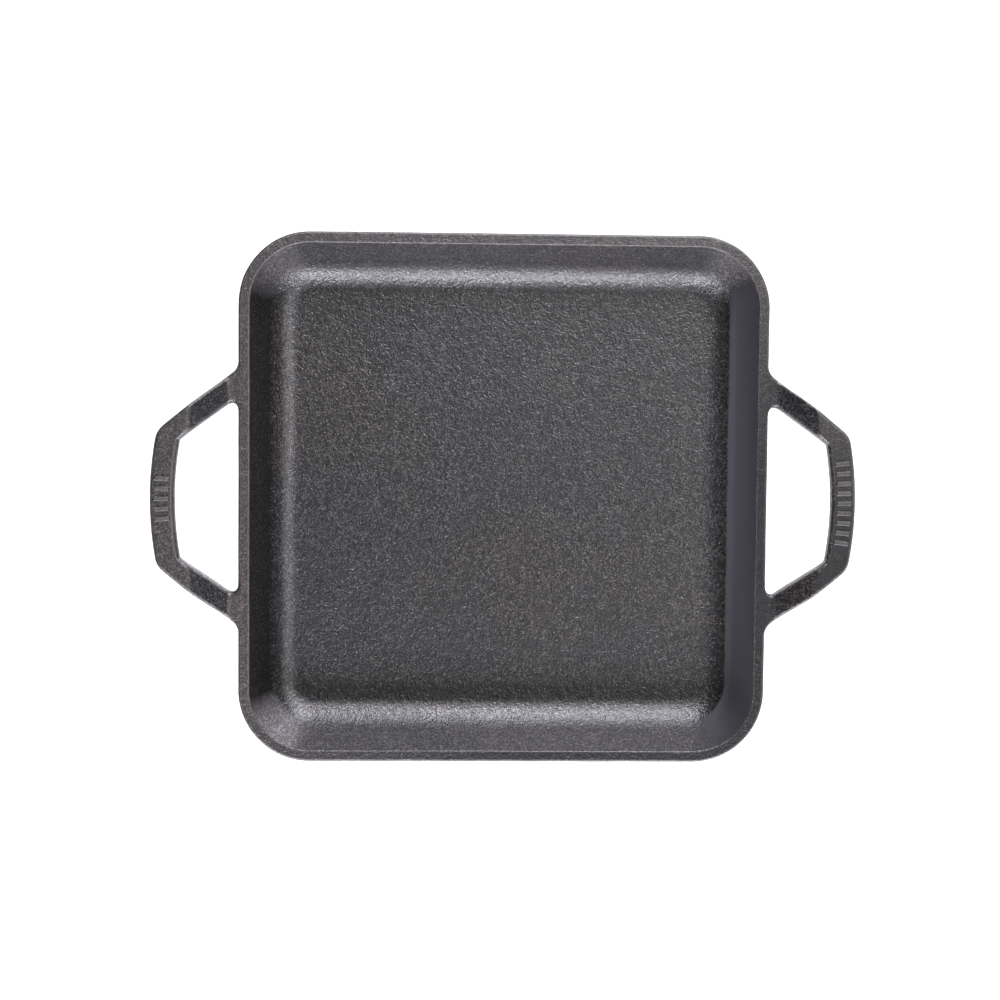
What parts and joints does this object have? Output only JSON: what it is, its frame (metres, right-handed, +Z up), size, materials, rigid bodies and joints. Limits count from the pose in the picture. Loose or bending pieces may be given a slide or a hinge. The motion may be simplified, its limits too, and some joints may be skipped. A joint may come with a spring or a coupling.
{
  "type": "square cast iron pan",
  "caption": "Square cast iron pan with a flat floor, sloping walls, rounded corners and a raised hexagonal loop handle at each end.",
  "frame": {"origin": "middle of the flat underside", "axes": "+Z up out of the pan, +X along the line through the two handles, +Y to the rear"},
  "size_m": [0.3682, 0.28, 0.0532],
  "materials": {
    "seasoned_iron": "seasoned, fine pebbled casting skin, low satin sheen"
  },
  "bodies": {
    "root": {"pan_floor": "seasoned_iron", "rim": "seasoned_iron", "right_wall": "seasoned_iron", "rear_wall": "seasoned_iron", "left_wall": "seasoned_iron", "front_wall": "seasoned_iron", "rear_right_corner": "seasoned_iron", "rear_left_corner": "seasoned_iron", "front_left_corner": "seasoned_iron", "front_right_corner": "seasoned_iron", "right_handle_grip": "seasoned_iron", "right_handle_front_arm": "seasoned_iron", "right_handle_rear_arm": "seasoned_iron", "left_handle_grip": "seasoned_iron", "left_handle_front_arm": "seasoned_iron", "left_handle_rear_arm": "seasoned_iron", "right_grip_ribs": "seasoned_iron", "left_grip_ribs": "seasoned_iron"}
  },
  "joints": []
}
